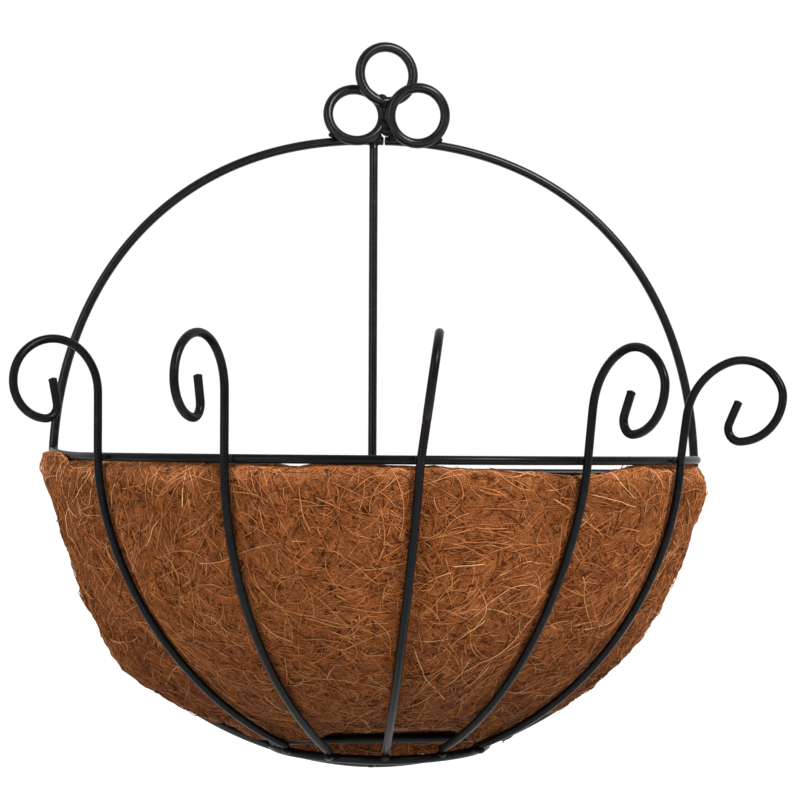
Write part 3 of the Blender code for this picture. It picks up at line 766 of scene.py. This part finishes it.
def build_liner():
    rings = []
    for j in range(ROWS + 1):                        # outside, top edge to floor
        w = j / ROWS
        w = 1.0 - (1.0 - w) ** 1.35
        loop = outline(level(w, FLOOR_Z + 0.4), 0.0)
        rings.append(eased(loop, 6))
    centre = Vector((0.0, -30.0, FLOOR_Z))
    last = rings[-1]
    under = []
    for j in range(1, 22):                           # the underside of the floor
        w = j / 22.0
        under.append([Vector((p.x + (centre.x - p.x) * w, p.y + (centre.y - p.y) * w, p.z - 0.8 * math.sin(math.pi * w / 2.0))) for p in last])
    inner = []
    for j in range(ROWS // 2 + 1):                   # inside, top edge to floor
        w = j / (ROWS // 2)
        w = 1.0 - (1.0 - w) ** 1.35
        loop = outline(level(w, FLOOR_Z + 7.0, -0.6), 7.5)
        inner.append(eased(loop, 10))
    bed = []
    for j in range(1, 12):
        w = j / 12.0
        bed.append([Vector((p.x + (centre.x - p.x) * w, p.y + (centre.y - p.y) * w, p.z)) for p in inner[-1]])
    lip = []
    for j in range(1, 6):                            # rolled lip from inside to outside
        w = j / 6.0
        rise = 1.7 * math.sin(math.pi * w)
        lip.append([a.lerp(b, w) + Vector((0, 0, rise)) for a, b in zip(inner[0], rings[0])])
    order = list(reversed(bed)) + list(reversed(inner)) + lip + rings + under
    verts, faces = [], []
    n = len(order[0])
    for loop in order:
        verts.extend(loop)
    for j in range(len(order) - 1):
        s0, s1 = j * n, (j + 1) * n
        for k in range(n):
            m = (k + 1) % n
            faces.append((s0 + k, s0 + m, s1 + m, s1 + k))
    first_c, last_c = len(verts), len(verts) + 1
    verts.append(Vector((centre.x, centre.y, inner[-1][0].z)))
    verts.append(Vector((centre.x, centre.y, FLOOR_Z - 0.8)))
    s1 = (len(order) - 1) * n
    for k in range(n):
        m = (k + 1) % n
        faces.append((first_c, m, k))
        faces.append((last_c, s1 + k, s1 + m))
    for v in verts:                                  # the floor follows what carries it
        low = smooth((FLOOR_Z + 16.0 - v.z) / 15.0)
        if low > 0.0:
            v.z += floor_rise(v.x, v.y) * low
            v.z += sag(v.x, v.y) * smooth((FLOOR_Z + 12.0 - v.z) / 9.0)
    world = [P(v) for v in verts]
    obj = outward(link("coir_liner_felt", world, faces, coir_base))
    mesh = obj.data
    normals = [v.normal.copy() for v in mesh.vertices]
    rib_dirs = [(math.radians(r[1]), math.radians(r[2]), r[3]) for r in RIBS]
    for v, nrm in zip(mesh.vertices, normals):
        q = v.co / MM + HANG
        hold = 1.0
        if q.y < -20.0 and q.z > -122.0:             # ribs press the felt flat beside them
            phi = math.atan2(-q.y, q.x)
            for a, bb, _ in rib_dirs:
                w = min(1.0, max(0.0, (q.z - RIM_Z + 136.0) / 136.0))
                d = abs(phi - (bb + (a - bb) * w)) * math.hypot(q.x, q.y)
                hold = min(hold, 0.35 + 0.65 * smooth((d - 1.5) / 7.0))
        if q.y > BACK_Y - 1.5:
            hold = min(hold, 0.3)                    # flat against the back wires
        if q.z < FLOOR_Z + 6.0:
            hold = min(hold, 0.4)
        v.co += nrm * (lumps(v.co, nrm) * hold - 0.25) * MM
    mesh.update()
    axes, reach = KDTree(sum(len(w) for w, _ in cage_lines())), []
    for line, r in cage_lines():
        for point in line:
            axes.insert(P(point), len(reach))
            reach.append((r + 0.55) * MM)
    axes.balance()
    for _ in range(2):                               # the wires press their own groove in the felt
        for v, nrm in zip(mesh.vertices, normals):
            a, k, dist = axes.find(v.co)
            if dist < reach[k]:
                d = v.co - a
                low = (a / MM + HANG).z < -110.0     # the floor lies on its wires, so it lifts off them
                way = Vector((0.0, 0.0, -1.0)) if low else nrm
                along = d.dot(way)
                t = along + math.sqrt(max(0.0, along * along - d.length_squared + reach[k] ** 2))
                v.co -= way * min(t, (4.8 if low else 2.6) * MM)
    mesh.update()
    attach(obj, "liner")
    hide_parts("coir_liner")
    return obj


coir_base = coir_material("coir_felt", (0.045, 0.0115, 0.0028), (0.185, 0.052, 0.0135), (0.330, 0.118, 0.036))
liner = build_liner()


# ------------------------------------------------------------------- fibres
def surface_points(obj):
    mesh = obj.data
    mesh.calc_loop_triangles()
    tri = np.zeros(len(mesh.loop_triangles) * 3, np.int32)
    mesh.loop_triangles.foreach_get("vertices", tri)
    tri = tri.reshape(-1, 3)
    co = np.zeros(len(mesh.vertices) * 3, np.float32)
    mesh.vertices.foreach_get("co", co)
    co = co.reshape(-1, 3).astype(float)
    a, b2, c = co[tri[:, 0]], co[tri[:, 1]], co[tri[:, 2]]
    cross = np.cross(b2 - a, c - a)
    area = np.linalg.norm(cross, axis=1) / 2.0
    return a, b2, c, cross / np.maximum(np.linalg.norm(cross, axis=1), 1e-12)[:, None], area


LO_CAP, HI_CAP = cad_lo - Vector((0.004, 0.006, 0.004)), cad_hi + Vector((0.004, 0.0, 0.004))


ABOVE, ABOVE_X = P(0.0, 0.0, 2.4).z, P(-136.0, 0.0, 0.0).x     # nothing stands up over the rim
RIM_LINE = rim_path(220)
WIRE_TREE = KDTree(sum(len(rib_path(r)) for r in RIBS) + 60 + len(RIM_LINE))
at_k = 0
for rib_k in RIBS:
    for point_k in rib_path(rib_k):
        WIRE_TREE.insert(P(point_k), at_k)
        at_k += 1
for k in range(60):
    WIRE_TREE.insert(P(-CHORD_HALF + k * 2.0 * CHORD_HALF / 59.0, CHORD_Y, chord_z), at_k)
    at_k += 1
for point_k in RIM_LINE:
    WIRE_TREE.insert(P(point_k), at_k)
    at_k += 1
WIRE_TREE.balance()


def strands(name, mat, count, length, radius, lift, seed, curl=0.10, stray=0.0, bias=None, align=1.0, step=2.2, sides=3, side_filter=None):
    """Fibres laid over the felt: each walks across the skin in a loose arc,
    dips in and out of it, and may leave it at its ends."""
    rng = np.random.default_rng(seed)
    picks = rng.random(count)
    weights = AREA * (side_filter if side_filter is not None else 1.0)
    cum = np.cumsum(weights / weights.sum())
    tri = np.minimum(np.searchsorted(cum, picks), len(cum) - 1)
    verts, faces = [], []
    for i in range(count):
        t = tri[i]
        u, v = rng.random(2)
        if u + v > 1.0:
            u, v = 1.0 - u, 1.0 - v
        p = Vector(A[t] + (B[t] - A[t]) * u + (C[t] - A[t]) * v)
        n = Vector(NRM[t])
        if bias is not None and rng.random() < bias:
            d = Vector((rng.normal(0.0, 0.35), rng.normal(0.0, 0.35), -1.0))
        else:
            d = Vector(rng.normal(0.0, 1.0, 3))
            q = p * 19.0 + Vector((3.0, 1.0, seed * 0.07))    # noise_vector is seeded by the clock, so three fixed reads
            swirl = Vector((noise.noise(q), noise.noise(q + Vector((13.7, 4.1, 9.3))), noise.noise(q + Vector((2.9, 21.3, 6.7)))))
            d = d.normalized() * 0.55 + swirl.normalized() * align * (1.0 if rng.random() < 0.5 else -1.0)
        d = d - n * d.dot(n)
        if d.length < 1e-6:
            continue
        d.normalize()
        total = length[0] + (length[1] - length[0]) * rng.random() ** 1.6
        steps = max(4, int(total / step))
        bend = rng.normal(0.0, curl)
        r = (radius[0] + (radius[1] - radius[0]) * rng.random()) * MM
        wave = rng.random() * 6.28
        rate = 0.22 + 0.35 * rng.random()
        high = lift[0] + (lift[1] - lift[0]) * rng.random() ** 2
        free_end = rng.random() < stray
        pts, away = [], 0.0
        for s in range(steps):
            if s:
                n2 = n.copy()
                bend += rng.normal(0.0, curl * 0.35)
                bend *= 0.93
                d = (Matrix.Rotation(bend, 3, n2) @ d)
                d = (d - n2 * d.dot(n2)).normalized()
                if free_end and s > steps * 0.6:
                    away += 0.12 + 0.1 * rng.random()
                    d = (Matrix.Rotation(rng.normal(0.0, 0.22), 3, d.cross(n2).normalized()) @ d).normalized()
                    pts.append(pts[-1] + (d + n2 * (0.5 - away)).normalized() * step * MM * 0.62)
                    continue
                p = p + d * step * MM
                hit, nn, _, _ = TREE.find_nearest(p)
                if hit is None:
                    break
                p, n = hit, nn
            near = WIRE_TREE.find(p)[2] / MM
            height = high * (0.5 + 0.5 * math.sin(wave + s * rate)) * smooth((near - 2.6) / 5.0) - 0.05
            if s == 0 or (s == steps - 1 and not free_end):
                height = -0.25
            pts.append(p + n * height * MM)
        if len(pts) < 4:
            continue
        base = len(verts)
        m = len(pts)
        ok = True
        for q in pts:
            if any(q[c] < LO_CAP[c] or q[c] > HI_CAP[c] for c in range(3)) or (q.z > ABOVE and q.x > ABOVE_X):
                ok = False
                break
        if not ok:
            continue
        for k in range(m):
            tan = (pts[min(k + 1, m - 1)] - pts[max(k - 1, 0)]).normalized()
            ref = Vector((0, 0, 1)) if abs(tan.z) < 0.9 else Vector((1, 0, 0))
            x = tan.cross(ref).normalized()
            y = tan.cross(x)
            taper = 1.0 if 0 < k < m - 1 else 0.35
            rr = r * taper
            for j in range(sides):
                w = 2.0 * math.pi * j / sides
                verts.append(pts[k] + (x * math.cos(w) + y * math.sin(w)) * rr)
        for k in range(m - 1):
            for j in range(sides):
                j2 = (j + 1) % sides
                faces.append((base + k * sides + j, base + k * sides + j2, base + (k + 1) * sides + j2, base + (k + 1) * sides + j))
        faces.append(tuple(base + j for j in reversed(range(sides))))
        faces.append(tuple(base + (m - 1) * sides + j for j in range(sides)))
    obj = link(name, verts, faces, mat)
    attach(obj, "liner")
    return obj


A, B, C, NRM, AREA = surface_points(liner)
TREE = BVHTree.FromObject(liner, bpy.context.evaluated_depsgraph_get())
mid = (A + B + C) / 3.0
zmm, ymm = mid[:, 2] / MM + HANG.z, mid[:, 1] / MM + HANG.y
outside = np.where((NRM[:, 1] < 0.75) & (np.einsum("ij,ij->i", NRM, mid - np.array([0, HANG.y * -MM, (-30 - HANG.z) * MM])) > 0), 1.0, 0.35)
edge = np.where(np.abs(zmm) < 9.0, 1.6, 1.0)

fib = {
    "umber": fibre_material("coir_fibre_umber", (0.040, 0.0110, 0.0030), (0.100, 0.0280, 0.0075)),
    "russet": fibre_material("coir_fibre_russet", (0.160, 0.0440, 0.0110), (0.270, 0.0830, 0.0230)),
    "amber": fibre_material("coir_fibre_amber", (0.270, 0.0900, 0.0265), (0.400, 0.1600, 0.0570)),
    "straw": fibre_material("coir_fibre_straw", (0.380, 0.1700, 0.0680), (0.560, 0.3100, 0.1500), rough=0.58, spec=0.12),
}
few = 1.0
LAYERS = (
    # name, shade, count, length mm, radius mm, lift mm, curl, stray
    ("umber_a", "umber", 1500, (10, 34), (0.13, 0.24), (0.0, 0.5), 0.17, 0.0),
    ("russet_a", "russet", 2700, (9, 34), (0.15, 0.27), (0.0, 0.7), 0.17, 0.01),
    ("russet_b", "russet", 2700, (7, 26), (0.14, 0.24), (0.1, 0.9), 0.26, 0.01),
    ("russet_c", "russet", 2700, (10, 40), (0.15, 0.28), (0.1, 1.0), 0.14, 0.02),
    ("umber_b", "umber", 1900, (7, 22), (0.13, 0.26), (0.1, 0.8), 0.22, 0.01),
    ("amber_a", "amber", 3200, (8, 30), (0.12, 0.24), (0.2, 1.1), 0.20, 0.02),
    ("amber_b", "amber", 1700, (14, 52), (0.15, 0.27), (0.3, 1.2), 0.12, 0.03),
    ("straw", "straw", 230, (18, 64), (0.14, 0.24), (0.4, 1.2), 0.09, 0.05),
)
for k, (name, shade, count, length, radius, lift, curl, stray) in enumerate(LAYERS):
    strands("coir_fibres_" + name, fib[shade], int(count * few), length, radius, lift, 11 + k, curl=curl, stray=stray,
            side_filter=outside * (edge if name.endswith("b") else 1.0))


# ============================================================ floor, light, camera
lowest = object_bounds()[0].z
floor_z = lowest - 0.22
fm = Nodes("pale_floor")
pale = fm.mix(fm.remap(fm.noise(6.0, 3.0), 0.3, 0.7, 0.0, 1.0), (0.93, 0.93, 0.93), (0.955, 0.955, 0.955))
fm.set(Base_Color=pale, Roughness=0.9, Specular_IOR_Level=0.1, Emission_Color=(1.0, 1.0, 1.0), Emission_Strength=0.42)
floor = link("floor", [(-30, -20, floor_z), (30, -20, floor_z), (30, 60, floor_z), (-30, 60, floor_z)], [(0, 1, 2, 3)], fm.mat, False)

world = bpy.data.worlds.new("studio")
SCENE.world = world
world.use_nodes = True
wn = world.node_tree
turn = wn.nodes.new("ShaderNodeTexCoord")
split = wn.nodes.new("ShaderNodeSeparateXYZ")
shade = wn.nodes.new("ShaderNodeMapRange")
shade.interpolation_type = "SMOOTHSTEP"
wn.links.new(turn.outputs["Generated"], split.inputs["Vector"])
wn.links.new(split.outputs["Y"], shade.inputs["Value"])
shade.inputs["From Min"].default_value = -0.75
shade.inputs["From Max"].default_value = 0.55
shade.inputs["To Min"].default_value = 0.22
shade.inputs["To Max"].default_value = 1.03
wn.links.new(shade.outputs["Result"], wn.nodes["Background"].inputs["Color"])
wn.nodes["Background"].inputs["Strength"].default_value = 1.0


def area(name, location, target, size, power):
    lamp = bpy.data.lights.new(name, "AREA")
    lamp.shape = "RECTANGLE"
    lamp.size, lamp.size_y = size
    lamp.energy = power
    obj = bpy.data.objects.new(name, lamp)
    obj.location = location
    obj.rotation_mode = "QUATERNION"
    obj.rotation_quaternion = (Vector(target) - Vector(location)).to_track_quat("-Z", "Y")
    SCENE.collection.objects.link(obj)
    return obj


middle = Vector(P(0.0, -60.0, -50.0))
area("key", P(560.0, -900.0, 760.0), middle, (0.34, 0.34), 25.5)
area("fill", P(-860.0, -760.0, 330.0), middle, (0.42, 1.0), 7.5)

SCENE.view_settings.view_transform = "Standard"
SCENE.view_settings.look = "None"

# the camera stands in front and a little to the left, level with the rim
F = 1833.6
fw = Vector((0.13785305, 0.98975622, 0.03713695)).normalized()
right = Vector((0.99039494, -0.13815298, 0.00562279)).normalized()
up = right.cross(fw).normalized()
cam_data = bpy.data.cameras.new("camera")
cam_data.sensor_fit = "HORIZONTAL"
cam_data.sensor_width = 36.0
cam_data.lens = F * 36.0 / 800.0
cam_data.clip_start, cam_data.clip_end = 0.02, 120.0
cam = bpy.data.objects.new("camera", cam_data)
cam.matrix_world = Matrix.Translation(P(-109.06, -845.61, -3.588)) @ Matrix((right, up, -fw)).transposed().to_4x4()
SCENE.collection.objects.link(cam)
SCENE.camera = cam
